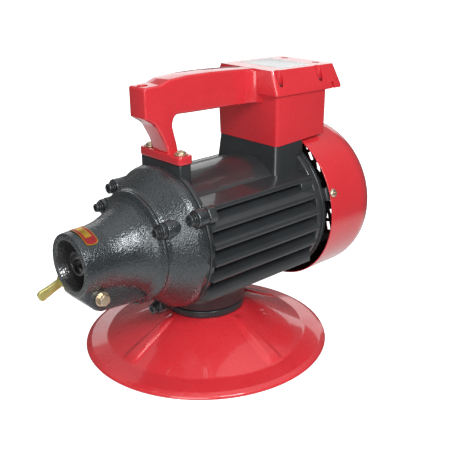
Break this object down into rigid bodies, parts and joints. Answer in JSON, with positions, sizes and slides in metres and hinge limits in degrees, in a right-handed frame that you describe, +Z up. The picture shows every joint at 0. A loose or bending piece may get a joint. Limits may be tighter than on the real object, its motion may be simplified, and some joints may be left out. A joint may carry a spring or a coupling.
{
  "type": "concrete vibrator",
  "caption": "Electric drive motor for a concrete poker vibrator: finned motor with a coupling nose, carry handle with switch box and fan cowl, turning on a round dish base.",
  "frame": {"origin": "middle of the length and width, on the floor the dish stands on", "axes": "+Z up, -Y towards the coupling nose, +X to the side with the lock screw"},
  "size_m": [0.25, 0.345, 0.2768],
  "materials": {
    "red_enamel": "gloss red enamel",
    "red_enamel_cast": "gloss red enamel over a light casting",
    "grey_hammertone": "hammertone grey paint over a light casting",
    "charcoal_enamel_cast": "gloss charcoal enamel over a light casting",
    "charcoal_enamel": "gloss charcoal enamel",
    "dark_bolt_steel": "painted over with the castings",
    "yellow_zinc": "yellow zinc plating",
    "bright_steel": "machined steel",
    "core_steel": "stacked core plates",
    "varnished_copper": "varnished winding",
    "black_rubber": "moulded rubber",
    "black_plastic": "moulded black plastic",
    "white_label": "blank printed-sheet label",
    "gold_sticker": "blank foil sticker"
  },
  "bodies": {
    "base": {"base_dish": "red_enamel", "swivel_ring": "charcoal_enamel", "thrust_washer": "black_plastic", "ring_screw_1": "yellow_zinc", "ring_screw_2": "yellow_zinc", "ring_screw_3": "yellow_zinc", "pivot_washer": "yellow_zinc"},
    "motor": {"stator_frame": "charcoal_enamel_cast", "front_bell": "grey_hammertone", "nose_housing": "grey_hammertone", "rear_shield": "charcoal_enamel_cast", "fan_cowl": "red_enamel", "bell_bolt_1": "dark_bolt_steel", "bell_bolt_2": "dark_bolt_steel", "bell_bolt_3": "dark_bolt_steel", "nose_bolt_1": "dark_bolt_steel", "nose_bolt_2": "dark_bolt_steel", "nose_bolt_3": "dark_bolt_steel", "shield_bolt_1": "dark_bolt_steel", "shield_bolt_2": "dark_bolt_steel", "shield_bolt_3": "dark_bolt_steel", "cowl_screw_1": "yellow_zinc", "cowl_screw_2": "yellow_zinc", "cowl_screw_3": "yellow_zinc", "wire_hook": "bright_steel", "handle_base": "red_enamel_cast", "handle_cover": "red_enamel_cast", "foot_screw_1": "yellow_zinc", "foot_screw_2": "yellow_zinc", "box_screw_1": "yellow_zinc", "box_screw_2": "yellow_zinc", "hood_screw_1": "dark_bolt_steel", "hood_screw_2": "dark_bolt_steel", "cover_screw_1": "dark_bolt_steel", "cover_screw_2": "dark_bolt_steel", "cover_screw_3": "dark_bolt_steel", "cover_screw_4": "dark_bolt_steel", "grip_screw": "dark_bolt_steel", "label_plate": "white_label", "switch_body": "black_plastic", "cable_gland": "black_plastic", "terminal_block": "black_plastic", "stator_core": "core_steel", "winding_front": "varnished_copper", "winding_rear": "varnished_copper", "front_bearing": "bright_steel", "rear_bearing": "bright_steel", "shaft_seal": "black_rubber", "pivot_stud": "yellow_zinc", "pivot_nut": "yellow_zinc", "pivot_cotter": "bright_steel", "nose_sticker": "gold_sticker"},
    "rotor": {"rotor_shaft": "bright_steel", "rotor_core": "core_steel", "cooling_fan": "black_plastic", "drive_dog": "bright_steel"},
    "lever": {"lock_lever": "yellow_zinc", "lock_washer": "yellow_zinc", "lock_screw": "yellow_zinc"},
    "switch": {"switch_rocker": "black_plastic"}
  },
  "joints": [
    {"name": "base_swivel", "type": "hinge", "parent": "base", "child": "motor", "pos_m": [0, -0.0055, 0.046], "axis": [0, 0, 1], "continuous": true},
    {"name": "rotor_spin", "type": "hinge", "parent": "motor", "child": "rotor", "pos_m": [0, -0.0055, 0.1255], "axis": [0, 1, 0], "continuous": true},
    {"name": "lock_lever_turn", "type": "hinge", "parent": "motor", "child": "lever", "pos_m": [0, -0.1415, 0.095], "axis": [1, 0, 0], "range_deg": [0, 90]},
    {"name": "switch_rock", "type": "hinge", "parent": "motor", "child": "switch", "pos_m": [0, 0.1275, 0.23], "axis": [1, 0, 0], "range_deg": [0, 16]}
  ]
}
